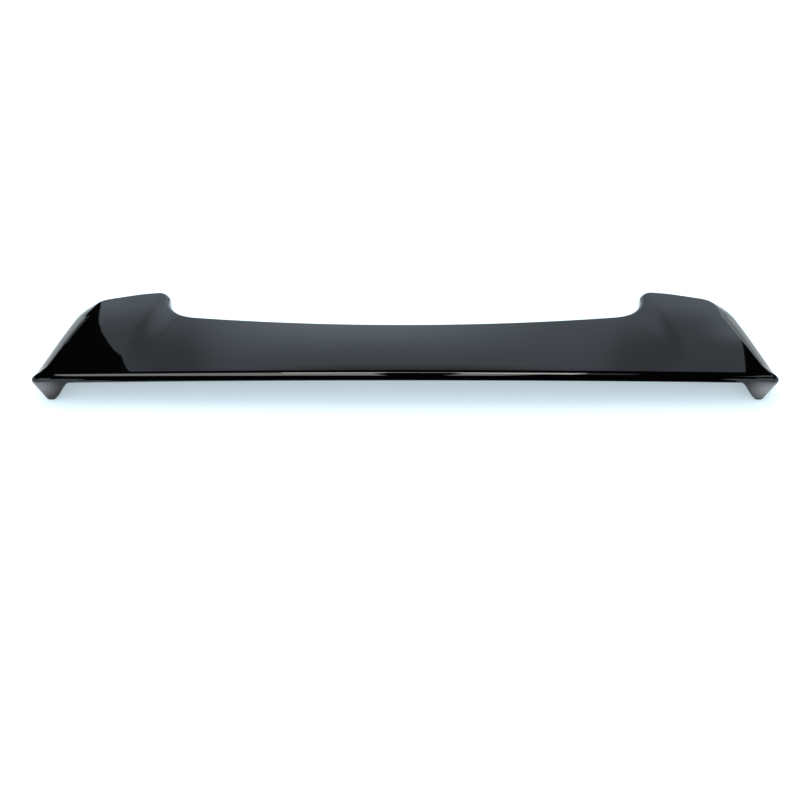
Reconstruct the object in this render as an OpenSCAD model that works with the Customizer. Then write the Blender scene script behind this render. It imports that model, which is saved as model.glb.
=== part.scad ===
// Tailgate spoiler: one closed double-walled moulding for the rear edge of a tall tailgate.
// Millimetres. X runs across the car, Y runs forward from the trailing edge, Z is up.
// The body stands on its two winglet tips and on the flat pads under its two arms.

/* [Overall] */
// Width over the rear corners of the winglets
overall_width = 1400; // [1320:1:1480]
// Height of the deck crease at the trailing edge, where the deck meets the winglets
trail_height = 63.3; // [56:0.1:72]
// How much higher the deck is on the centre line than at its ends
deck_crown = 11.4; // [4:0.1:20]
// How far the trailing edge bows rearward on the centre line
trail_bow = 4; // [0:0.5:12]
// Forward and downward slope of the deck at the trailing edge, in degrees
deck_slope = 8.3; // [6.5:0.1:9]
// Extra fall of the deck caused by its camber, reached at the camber length
deck_camber = 13; // [8:0.5:15]
// Distance ahead of the trailing edge at which the camber fall is measured
camber_length = 300; // [280:5:340]

/* [Plan outline, one half] */
// Trailing edge to the front edge of the deck on the centre line
deck_depth = 169; // [155:0.5:180]
// Centre line to the root of the arm
notch_x = 476; // [460:1:485]
// Trailing edge to the root of the arm
notch_y = 200; // [190:0.5:204]
// Radius between the deck and the arm
notch_radius = 76; // [55:1:80]
// Centre line to the inner front corner of the arm
arm_inner_x = 488; // [480:1:500]
// Trailing edge to the inner front corner of the arm
arm_reach = 302.5; // [294:0.5:315]
// Radius of the inner front corner of the arm
arm_inner_radius = 28; // [18:1:30]
// Centre line to the bend in the front edge of the arm
arm_bend_x = 547; // [542:1:565]
// Trailing edge to the bend in the front edge of the arm
arm_bend_y = 294; // [290:0.5:298]
// Radius of the bend in the front edge of the arm
arm_bend_radius = 200; // [100:5:230]
// Side of the body to the outer front corner of the arm
arm_outer_inset = 40.5; // [34:0.5:46]
// Trailing edge to the outer front corner of the arm
arm_outer_y = 260; // [248:1:265]
// Radius of the outer front corner of the arm
arm_outer_radius = 83; // [50:1:90]
// Side of the body to the waist just ahead of the winglet corner
waist_inset = 5.5; // [3:0.5:12]
// Trailing edge to the waist just ahead of the winglet corner
waist_y = 38; // [30:1:50]
// Plan radius of the winglet rear corner
rear_corner_radius = 9; // [6:0.5:12]

/* [Arms] */
// How much the arms stand above the sweep of the deck at their front
arm_rise = 5; // [0:0.5:9]
// Width of the soft step between deck and arm
arm_step_width = 70; // [50:2:100]
// Centre line to the middle of the soft step at the arm root
arm_step_front_x = 483; // [470:1:500]
// Centre line to the middle of the soft step at the trailing edge
arm_step_rear_x = 524; // [500:1:550]
// Length over which the arms rise from the trailing edge
arm_step_length = 240; // [200:5:280]

/* [Edges] */
// Width of the roll at the trailing edge, seen from above
nose_roll_width = 12; // [9:0.5:14]
// Drop of the roll at the trailing edge
nose_roll_drop = 12; // [9:0.5:13]
// Thickness of the trailing edge
nose_thickness = 20; // [18:0.5:25]
// Lower radius of the trailing edge
nose_foot_radius = 5; // [3:0.5:6]
// Width of the roll at the winglet rear corners
corner_roll_width = 21; // [15:0.5:25]
// Drop of the roll at the winglet rear corners
corner_roll_drop = 15; // [13:0.5:18]
// Width of the roll along the sides behind the outer front corners, seen from above
side_roll_width = 32; // [26:0.5:38]
// Width of the roll along the sides at the waist
side_roll_waist = 23; // [18:0.5:28]
// Drop of the roll along the sides
side_roll_drop = 13.5; // [11:0.5:16]
// Fullness of the side roll: 2 is round, 1 is a flat chamfer
side_roll_power = 1.15; // [1.1:0.05:2]
// Plan radius of the deck shoulder at the rear corner
shoulder_radius = 4; // [3:0.5:8]
// Upper radius of the front edges
front_roll = 3; // [2:0.25:4]
// Lower radius of the front edges
front_foot_radius = 3; // [2:0.25:4]
// Width of the roll on the inner wall of the arm
wall_roll_width = 7; // [4:0.5:9]
// Drop of the roll on the inner wall of the arm
wall_roll_drop = 6; // [4:0.5:8]
// Lower radius of the inner wall of the arm
wall_foot_radius = 4; // [2:0.25:5]

/* [Winglets] */
// How far the outer face tucks inward below the widest line
tuck = 5; // [3:0.5:9]
// Plan radius of the tucked rear corner
tuck_corner_radius = 8; // [6:0.5:10]
// Outer lower radius of the winglet
fin_foot_radius = 4; // [3:0.5:6]
// Plan radius of the winglet tip at its rear corner
tip_corner_radius = 5; // [3:0.5:7]
// Side of the body to the foot of the sloping inner face of the winglet
fin_inner_inset = 20; // [17:0.5:26]
// Width over which the inner face slopes from the foot up to the underside
fin_slope_width = 50; // [35:1:60]
// Inward lean of the winglet for each millimetre of height
fin_lean = 0.3; // [0.2:0.01:0.36]
// How much thicker the winglet is toward its front end
fin_growth = 2; // [0:0.5:6]
// Rise of the lower side edge between the winglet tip and the arm pad
side_arch = 8; // [2:0.5:12]

/* [Underside] */
// Thickness of the deck over the hollow underside
skin_thickness = 6; // [4:0.5:9]
// Thickness of the deck front edge
front_edge_thickness = 9; // [8:0.5:12]

/* [Hidden] */

gloss_black = [0.05, 0.05, 0.06];

// Steps along the half outline
sweep_steps = 10;
notch_steps = 8;
wall_steps = 2;
inner_steps = 7;
bend_steps = 3;
front_steps = 3;
outer_steps = 4;
waist_steps = 2;
corner_steps = 6;
// Shares of the side line, from the outer front corner to the waist, at which it is divided
side_shares = [0.86, 0.70, 0.54, 0.40, 0.27, 0.13, 0];
roll_steps = 5;
tuck_steps = 3;
foot_steps = 3;

half_width = overall_width / 2;
// The columns of the surface gather toward the rear corner over this length of the front edge
fan_length = 175;
fan_width = 190;
fan_power = 1.9;
// The wall roll takes over from the front roll as the edge turns toward the side of the car
wall_turn_start = 0.2;
wall_turn_span = 0.7;
// The side roll takes on its chamfer this much faster than its width
bend_gain = 2.5;
// Reach of the deeper corner roll and of the thicker foot, measured from the rear corner
corner_reach = 25;
corner_blend_start = 10;
corner_blend_length = 50;
// The arm pads start where the front edge has passed this distance from the trailing edge
pad_start_y = 212;
pad_blend = 40;
// Share of the winglet's inner slope that is eased at its foot and its top
slope_ease = 0.4;
// The side roll deepens evenly over this length ahead of the rear corner
side_fall_length = 200;
// The lean starts at this distance inside the body and fades out ahead of the winglet
lean_inset = 196;
lean_blend = 60;
lean_end_y = 80;
lean_fade = 100;
growth_length = 45;
least_wall = 0.5;

function mix(a, b, t) = a + (b - a) * t;
function smooth(t) = let (c = max(0, min(1, t))) c * c * (3 - 2 * c);
function unit(v) = v / norm(v);
function flip(v) = is_list(v) ? [-v[0], v[1]] : v;

// A fillet at p between the lines to p0 and p1: centre, radius, start angle and swept angle
function fillet(p0, p, p1, r) =
    let (a = unit(p0 - p), b = unit(p1 - p), half = acos(a * b) / 2,
         c = p + unit(a + b) * r / sin(half),
         s = p + a * r / tan(half) - c, e = p + b * r / tan(half) - c,
         start = atan2(s[1], s[0]), sweep = atan2(e[1], e[0]) - start)
    [c, r, start, sweep > 180 ? sweep - 360 : sweep < -180 ? sweep + 360 : sweep];
function arc_point(f, k) = f[0] + f[1] * [cos(f[2] + f[3] * k), sin(f[2] + f[3] * k)];
function arc_run(f, k0, k1, n) = [for (i = [0:n]) arc_point(f, mix(k0, k1, i / n))];
function line_run(a, b, n) = [for (i = [1:1:n - 1]) mix(a, b, i / n)];
function first(run) = run[0];
function last(run) = run[len(run) - 1];

// Corner points of the half outline, from the arm root to the waist
notch_point = [notch_x, notch_y];
inner_point = [arm_inner_x, arm_reach];
bend_point = [arm_bend_x, arm_bend_y];
outer_point = [half_width - arm_outer_inset, arm_outer_y];
waist_point = [half_width - waist_inset, waist_y];

// The notch arc touches the inner wall of the arm; the wide sweep of the deck runs from the
// centre line into the notch arc without a kink
wall_way = unit(inner_point - notch_point);
notch_centre = [notch_x + notch_radius * (wall_way[0] - 1) / wall_way[1], notch_y + notch_radius];
sweep_radius = (pow(notch_centre[0], 2) + pow(notch_centre[1] - deck_depth, 2) - pow(notch_radius, 2))
               / (2 * (notch_y - deck_depth));
sweep_centre = [0, deck_depth + sweep_radius];
meet_angle = atan2(notch_centre[1] - sweep_centre[1], notch_centre[0]);
wall_angle = atan2(-wall_way[0], wall_way[1]);
outer_turn = fillet(bend_point, outer_point, waist_point, arm_outer_radius);
sweep_run = arc_run([sweep_centre, sweep_radius, -90, meet_angle + 90], 0, 1, sweep_steps);
notch_run = arc_run([notch_centre, notch_radius, meet_angle, wall_angle - meet_angle], 1 / notch_steps, 1,
                    notch_steps - 1);
inner_run = arc_run(fillet(notch_point, inner_point, bend_point, arm_inner_radius), 0, 1, inner_steps);
bend_run = arc_run(fillet(inner_point, bend_point, outer_point, arm_bend_radius), 0, 1, bend_steps);
outer_run = arc_run(outer_turn, 0, 0.5, outer_steps);

// Front edge of one half: deck, notch, arm, up to the middle of the outer front corner
front = concat(sweep_run, notch_run, line_run(last(notch_run), first(inner_run), wall_steps), inner_run,
               bend_run, line_run(last(bend_run), first(outer_run), front_steps), outer_run);
nf = len(front) - 1;
front_before = concat([flip(front[1])], [for (j = [0:nf - 1]) front[j]]);
front_tangent = [for (j = [0:nf - 1]) unit(front[j + 1] - front_before[j])];
front_inward = concat([for (t = front_tangent) [t[1], -t[0]]], [unit(outer_turn[0] - front[nf])]);
wall_share = [for (n = front_inward) smooth((n[0] - wall_turn_start) / wall_turn_span)];

// Length of the front edge between each point and the outer front corner
function lengths_from(run, j) = j >= len(run) - 1 ? [0] :
    let (rest = lengths_from(run, j + 1)) concat([rest[0] + norm(run[j + 1] - run[j])], rest);
front_left = lengths_from(front, 0);

// The side roll grows over the whole arc of the outer front corner
front_turn = [for (j = [0:nf]) smooth((j - nf + outer_steps) / (2 * outer_steps))];
function side_turn(i) = smooth(0.5 + 0.5 * i / outer_steps);

// Side edge from the outer front corner round to the trailing edge. Insets are measured behind the
// outer front corner, at the waist and at the rear corner; start is the inset of the front edge
function side_run(insets, rear, radius, start) =
    let (turn = arc_run(outer_turn, 0.5, 1, outer_steps),
         curve = [for (k = [0:outer_steps])
             turn[k] + unit(outer_turn[0] - turn[k]) * mix(start, insets[0], side_turn(k))],
         along = unit(waist_point - last(turn)),
         waist = waist_point + insets[1] * [along[1], -along[0]],
         c = [half_width - insets[2] - radius, rear + radius],
         reach = c - waist, angle = atan2(reach[1], reach[0]) + asin(radius / norm(reach)),
         touch = waist + sqrt(reach * reach - radius * radius) * [cos(angle), sin(angle)],
         start_angle = atan2(touch[1] - c[1], touch[0] - c[0]),
         corner = arc_run([c, radius, start_angle, -90 - start_angle], 0, 1, corner_steps))
    concat(curve, [for (k = side_shares) mix(waist, last(curve), k)],
           line_run(waist, corner[0], waist_steps), corner);

function same(inset) = [inset, inset, inset];
widest_side = side_run(same(0), 0, rear_corner_radius, 0);
ns = len(widest_side) - 1;
corner_start = ns - corner_steps;
side_done = lengths_from(widest_side, 0);

// Trailing edge: one point behind every point of the front edge
fan_first = [for (j = [0:nf]) if (front_left[j] <= fan_length) j][0];
function rear_x(j, end_inset) =
    j <= sweep_steps ? front[j][0] :
    j < fan_first ?
        mix(front[sweep_steps][0], half_width - fan_width,
            (front_left[sweep_steps] - front_left[j]) / (front_left[sweep_steps] - fan_length)) :
    half_width - end_inset - (fan_width - end_inset) * pow(front_left[j] / fan_length, fan_power);

// An outline is its front, side and rear runs; the runs have the same points in every outline
function outline(insets, rear, radius, front_in, wall_in) =
    let (inset = [for (j = [0:nf]) mix(mix(front_in, wall_in, wall_share[j]), insets[0], front_turn[j])],
         s = side_run(insets, rear, radius, front_in), end_inset = half_width - last(s)[0])
    [[for (j = [0:nf]) front[j] + front_inward[j] * inset[j]], s,
     [for (j = [0:nf]) [rear_x(j, end_inset), rear]]];
function around(f, s, r) =
    concat([for (j = [nf:-1:1]) flip(r[j])], r, [for (i = [ns - 1:-1:1]) s[i]],
           [for (j = [nf:-1:0]) f[j]], [for (j = [1:nf]) flip(f[j])], [for (i = [1:ns - 1]) flip(s[i])]);

// Heights of the upper and lower surfaces
function bow_at(x) = -trail_bow * (1 - pow(x / half_width, 2));
function top_at(x, y) =
    let (v = y - bow_at(x), run = v / camber_length, ahead = v / arm_step_length,
         step_x = mix(arm_step_rear_x, arm_step_front_x, max(0, min(1.4, ahead))))
    trail_height + deck_crown * (1 - pow(x / half_width, 2)) - tan(deck_slope) * v
    - deck_camber * run * abs(run) + arm_rise * smooth((abs(x) - step_x) / arm_step_width + 0.5) * smooth(ahead);

widest_rear_inset = [for (j = [0:nf]) half_width - rear_x(j, half_width - last(widest_side)[0])];
fin_height = trail_height - nose_thickness;
function held(t) = max(0, min(1, t));
function fin_share(q) =
    let (t = held((q - fin_inner_inset) / fin_slope_width)) 1 - mix(t, smooth(t), slope_ease);
foot_plain = outline(same(tuck + fin_foot_radius), nose_foot_radius, tip_corner_radius,
                     front_foot_radius, wall_foot_radius);
fin = [for (p = foot_plain[2]) fin_share(half_width - p[0])];
arm = [for (p = front) smooth((p[1] - pad_start_y) / pad_blend)];

// Rows run forward to rearward: the pad rows come first, the box rows last
pad_row = outer_steps;
box_row = outer_steps + 4;
absolute_row = outer_steps + 3;
tip_row = corner_start - waist_steps;
function pad_at(i) = i <= pad_row ? 1 : 0;
function box_at(i) = i <= box_row ? 0 : 1;
arch = [for (i = [0:ns])
    side_arch * pow(sin(180 * max(0, min(1, (side_done[pad_row + 1] - side_done[i])
                                            / (side_done[pad_row + 1] - side_done[tip_row])))), 2)];
function bottom_at(x, y, j, i) =
    let (top = top_at(x, y), ceiling = top - (box_at(i) == 1 ? nose_thickness : skin_thickness))
    pad_at(i) == 1 ? mix(top - front_edge_thickness, 0, arm[j]) :
    mix(ceiling, min(ceiling, arch[i]), fin[j]);

// The four outlines from the deck shoulder down to the foot
function bowed(ring) = [for (p = ring) [p[0], p[1] + bow_at(p[0])]];
shoulder = outline([side_roll_width, side_roll_waist, corner_roll_width], nose_roll_width,
                   shoulder_radius, front_roll, wall_roll_width);
widest = outline(same(0), 0, rear_corner_radius, 0, 0);
tucked = outline(same(tuck), 0, tuck_corner_radius, 0, 0);
foot_growth = fin_foot_radius - nose_foot_radius;
foot = [foot_plain[0],
        [for (i = [0:ns]) foot_plain[1][i] + [0, foot_growth * (i >= corner_start ? 1 :
            smooth((corner_blend_start + corner_blend_length - foot_plain[1][i][1]) / corner_blend_length))]],
        [for (j = [0:nf]) foot_plain[2][j] + [0, foot_growth * fin[j]]]];
shoulder_ring = bowed(around(shoulder[0], shoulder[1], shoulder[2]));
widest_ring = bowed(around(widest[0], widest[1], widest[2]));
tucked_ring = bowed(around(tucked[0], tucked[1], tucked[2]));
foot_ring = bowed(around(foot[0], foot[1], foot[2]));
n = len(widest_ring);

// Drop and fullness of the roll and radius of the foot at every point of the rings
front_drop = [for (j = [0:nf])
    mix(mix(front_roll, wall_roll_drop, wall_share[j]), side_roll_drop, front_turn[j])];
side_drop = [for (i = [0:ns])
    mix(mix(front_roll, side_roll_drop, side_turn(i)), corner_roll_drop,
        held((corner_blend_start + side_fall_length - widest_side[i][1]) / side_fall_length))];
rear_drop = [for (q = widest_rear_inset)
    mix(nose_roll_drop, corner_roll_drop, exp(-pow((q - rear_corner_radius) / corner_reach, 2)))];
drop = around(front_drop, side_drop, rear_drop);
full_bend = 2 / side_roll_power;
front_bend = [for (t = front_turn) mix(1, full_bend, smooth(t * bend_gain))];
side_bend = [for (i = [0:ns]) mix(full_bend, 1, smooth((i - corner_start) / corner_steps + 0.5))];
bend = around(front_bend, side_bend, [for (j = [0:nf]) 1]);
front_foot = [for (j = [0:nf])
    mix(mix(front_foot_radius, wall_foot_radius, wall_share[j]), fin_foot_radius, front_turn[j])];
side_foot = [for (i = [0:ns]) mix(front_foot_radius, fin_foot_radius, side_turn(i))];
rear_foot = [for (f = fin) mix(nose_foot_radius, fin_foot_radius, f)];
foot_radius = around(front_foot, side_foot, rear_foot);

// Column and row of every point of the rings
station = concat([for (j = [nf:-1:1]) [j, ns]], [for (j = [0:nf]) [j, ns]], [for (i = [ns - 1:-1:1]) [nf, i]],
                 [for (j = [nf:-1:0]) [j, 0]], [for (j = [1:nf]) [j, 0]], [for (i = [1:ns - 1]) [nf, i]]);
function bottom_of(p, k) = bottom_at(p[0], p[1], station[k][0], station[k][1]);

roll_rings = [for (r = [0:roll_steps]) let (a = 90 * r / roll_steps) [for (k = [0:n - 1])
    let (p = mix(shoulder_ring[k], widest_ring[k], pow(sin(a), bend[k])))
    [p[0], p[1], top_at(p[0], p[1]) - drop[k] * (1 - pow(cos(a), bend[k]))]]];
wall_top = [for (p = last(roll_rings)) p[2]];
wall_bottom = [for (k = [0:n - 1])
    min(bottom_of(tucked_ring[k], k) + foot_radius[k], wall_top[k] - least_wall)];
wall_rings = [for (w = [1:tuck_steps - 1]) [for (k = [0:n - 1])
    let (p = mix(widest_ring[k], tucked_ring[k], w / tuck_steps))
    [p[0], p[1], mix(wall_top[k], wall_bottom[k], w / tuck_steps)]]];
foot_rings = [for (r = [0:foot_steps]) let (a = 90 * r / foot_steps) [for (k = [0:n - 1])
    let (p = mix(tucked_ring[k], foot_ring[k], 1 - cos(a)))
    [p[0], p[1], bottom_of(p, k) + (wall_bottom[k] - bottom_of(tucked_ring[k], k)) * (1 - sin(a))]]];
rings = concat(roll_rings, wall_rings, foot_rings);
nr = len(rings);

// The upper and lower surfaces: straight columns from the front edge to the trailing edge,
// with the side edge itself as the last column at each end
columns = concat([for (j = [nf:-1:1]) [-1, j]], [for (j = [0:nf]) [1, j]]);
nc = len(columns);
ring_front = nc + ns - 1;
function edge_index(c, i) =
    i == ns ? c : i == 0 ? ring_front + nc - 1 - c :
    c == 0 ? ring_front + nc + i - 1 : c == nc - 1 ? nc + ns - 1 - i : -1;
foot_length = lengths_from(foot[1], 0);
function row_share(i, span) =
    i >= absolute_row ? 1 - foot_length[i] / span :
    (1 - foot_length[absolute_row] / span) * (foot_length[0] - foot_length[i])
    / (foot_length[0] - foot_length[absolute_row]);
column_span = [for (j = [0:nf]) norm(foot[0][j] - foot[2][j])];
// The columns near the side follow its curve; the deviation fades out over this many columns
follow_columns = 14;
function plan(p) = [p[0], p[1]];
function inside(ring, c, i) =
    let (side = columns[c][0], j = columns[c][1],
         end_c = side < 0 ? 0 : nc - 1,
         f = plan(ring[edge_index(c, 0)]), r = plan(ring[edge_index(c, ns)]),
         ef = plan(ring[edge_index(end_c, 0)]), er = plan(ring[edge_index(end_c, ns)]),
         es = plan(ring[edge_index(end_c, i)]),
         fade = pow(max(0, 1 - (nf - j) / follow_columns), 2))
    mix(f, r, row_share(i, column_span[j])) + (es - mix(ef, er, row_share(i, column_span[nf]))) * fade;

function leaned(p) =
    let (below = max(0, top_at(p[0], p[1]) - nose_thickness - p[2]),
         share = smooth((abs(p[0]) - half_width + lean_inset) / lean_blend)
                 * (1 - smooth((p[1] - lean_end_y) / lean_fade)),
         inner = smooth((half_width - abs(p[0]) - fin_inner_inset) / (fin_inner_inset - tuck) + 1),
         growth = fin_growth * inner * smooth((p[1] - fin_foot_radius) / growth_length) / fin_height)
    [p[0] - sign(p[0]) * (fin_lean + growth) * below * share, p[1], p[2]];

top_inside = [for (c = [1:nc - 2]) for (i = [1:ns - 1])
    let (p = inside(first(rings), c, i)) [p[0], p[1], top_at(p[0], p[1])]];
bottom_inside = [for (c = [1:nc - 2]) for (i = [1:ns - 1])
    let (p = inside(last(rings), c, i)) [p[0], p[1], bottom_at(p[0], p[1], columns[c][1], i)]];
leaned_points = [for (p = concat([for (ring = rings) each ring], top_inside, bottom_inside)) leaned(p)];

// The origin lies at the middle of the footprint
front_most = max([for (p = front) p[1] + bow_at(p[0])]);
centre_y = (front_most - trail_bow) / 2;
points = [for (p = leaned_points) p - [0, centre_y, 0]];

top_base = nr * n;
bottom_base = top_base + len(top_inside);
function inside_index(c, i) = (c - 1) * (ns - 1) + i - 1;
function top_index(c, i) = let (e = edge_index(c, i)) e >= 0 ? e : top_base + inside_index(c, i);
function bottom_index(c, i) =
    let (e = edge_index(c, i)) e >= 0 ? (nr - 1) * n + e : bottom_base + inside_index(c, i);
// Two triangles for the cell a b c d, cut so that both halves of the body mirror each other
function cell(a, b, c, d, left) = left ? [[a, b, c], [a, c, d]] : [[b, c, d], [b, d, a]];
rim_faces = [for (r = [0:nr - 2]) for (k = [0:n - 1])
    let (m = (k + 1) % n, a = r * n + k, b = r * n + m)
    each cell(a, b, b + n, a + n, points[a][0] + points[b][0] < 0)];
top_faces = [for (c = [0:nc - 2]) for (i = [0:ns - 1])
    each cell(top_index(c, i), top_index(c + 1, i), top_index(c + 1, i + 1), top_index(c, i + 1), c < nf)];
bottom_faces = [for (c = [0:nc - 2]) for (i = [0:ns - 1])
    each cell(bottom_index(c, i + 1), bottom_index(c + 1, i + 1), bottom_index(c + 1, i), bottom_index(c, i),
              c < nf)];

module spoiler_moulding()
{
    color(gloss_black)
        polyhedron(points = points, faces = concat(rim_faces, top_faces, bottom_faces), convexity = 8);
}

spoiler_moulding();
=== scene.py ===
"""Studio scene of a gloss-black tailgate spoiler on a white floor."""

import logging
import math
from dataclasses import dataclass
from enum import Enum
from functools import reduce
from typing import Any, Union

import bpy
import numpy as np
from mathutils import Matrix, Vector


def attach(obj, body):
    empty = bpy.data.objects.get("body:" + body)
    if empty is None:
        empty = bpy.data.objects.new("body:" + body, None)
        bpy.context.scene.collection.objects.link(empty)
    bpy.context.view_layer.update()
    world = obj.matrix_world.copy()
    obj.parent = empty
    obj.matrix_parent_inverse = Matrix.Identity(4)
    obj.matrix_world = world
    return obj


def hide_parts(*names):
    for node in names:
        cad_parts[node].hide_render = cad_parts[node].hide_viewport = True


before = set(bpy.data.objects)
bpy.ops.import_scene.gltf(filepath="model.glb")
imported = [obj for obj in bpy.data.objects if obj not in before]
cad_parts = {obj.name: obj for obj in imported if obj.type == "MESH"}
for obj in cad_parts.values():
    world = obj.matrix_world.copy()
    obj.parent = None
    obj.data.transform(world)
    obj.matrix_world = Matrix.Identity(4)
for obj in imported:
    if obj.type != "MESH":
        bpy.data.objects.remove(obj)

LOG = logging.getLogger("spoiler")
MM = 0.001
NODE = "spoiler_moulding"
BODY = "root"
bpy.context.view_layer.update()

Number = Union[float, int]
Array = np.ndarray
Colour = tuple[float, float, float]
Span = tuple[float, float]
Corners = tuple[tuple[float, float, float], ...]

BLACK = (0.0, 0.0, 0.0, 1.0)
WHITE = (1.0, 1.0, 1.0, 1.0)


class Cell(Enum):
    """Which part of the moulding a face belongs to."""

    RIM = 0
    TOP = 1
    BOTTOM = 2


def mix(low: Any, high: Any, share: Any) -> Any:
    """Return the value that lies a share of the way from low to high."""
    return low + (high - low) * share


def smooth(share: Any) -> Any:
    """Return a share eased at both ends and held between 0 and 1."""
    held = np.clip(share, 0.0, 1.0)
    return held * held * (3.0 - 2.0 * held)


def unit(vector: Array) -> Array:
    """Return the vector at length 1."""
    return vector / np.linalg.norm(vector)


@dataclass(frozen=True)
class Arc:
    """A circular arc in plan."""

    centre: Array
    radius: float
    start: float
    sweep: float

    @classmethod
    def fillet(cls, before: Array, corner: Array, after: Array, radius: float) -> "Arc":
        """Round a corner.

        Args:
            before: Point that the outline comes from.
            corner: Sharp corner.
            after: Point that the outline goes to.
            radius: Radius of the rounding.

        Returns:
            The arc, in the outline's direction.
        """
        back = unit(before - corner)
        ahead = unit(after - corner)
        half = math.acos(float(np.clip(back @ ahead, -1.0, 1.0))) / 2.0
        centre = corner + unit(back + ahead) * radius / math.sin(half)
        first = corner + back * radius / math.tan(half) - centre
        last = corner + ahead * radius / math.tan(half) - centre
        start = math.atan2(first[1], first[0])
        sweep = math.atan2(last[1], last[0]) - start
        sweep = (sweep + math.pi) % (2.0 * math.pi) - math.pi
        return cls(centre, radius, start, sweep)

    def run(self, first: float, last: float, steps: int) -> list[Array]:
        """Divide a share of the arc.

        Args:
            first: Share of the arc at which the run starts.
            last: Share of the arc at which the run ends.
            steps: Number of equal steps.

        Returns:
            The points of the run, both ends included.
        """
        angles = self.start + self.sweep * np.linspace(first, last, steps + 1)
        return [self.centre + self.radius * np.array([math.cos(a), math.sin(a)]) for a in angles]


def line(first: Array, last: Array, steps: int) -> list[Array]:
    """Return the points that divide a line, without its ends."""
    return [mix(first, last, k / steps) for k in range(1, steps)]


def lengths_left(points: Array) -> Array:
    """Return the length of a run between each of its points and its end."""
    steps = np.linalg.norm(np.diff(points, axis=0), axis=1)
    return np.concatenate([[0.0], np.cumsum(steps[::-1])])[::-1]


@dataclass(frozen=True)
class Outline:
    """Half of a closed outline: front edge, side edge and trailing edge."""

    front: Array
    side: Array
    rear: Array

    def around(self) -> Array:
        """Return the whole outline, from the left rear corner and back to it."""
        return closed(self.front, self.side, self.rear, np.array([-1.0, 1.0]))


def cell_corners(index: Array) -> Array:
    """Return the four corners of every cell between the columns and rows of a table."""
    return np.stack([index[:-1, :-1], index[:-1, 1:], index[1:, 1:], index[1:, :-1]], axis=-1)


def closed(front: Array, side: Array, rear: Array, flip: Any) -> Array:
    """Join the runs of one half and their mirror images into a ring.

    Args:
        front: Values from the centre line to the outer front corner.
        side: Values from the outer front corner to the rear corner.
        rear: Values from the centre line to the rear corner.
        flip: Factor that mirrors a value.

    Returns:
        The values around the ring.
    """
    return np.concatenate([
        rear[:0:-1] * flip, rear, side[-2:0:-1], front[::-1], front[1:] * flip, side[1:-1] * flip,
    ])


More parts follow.
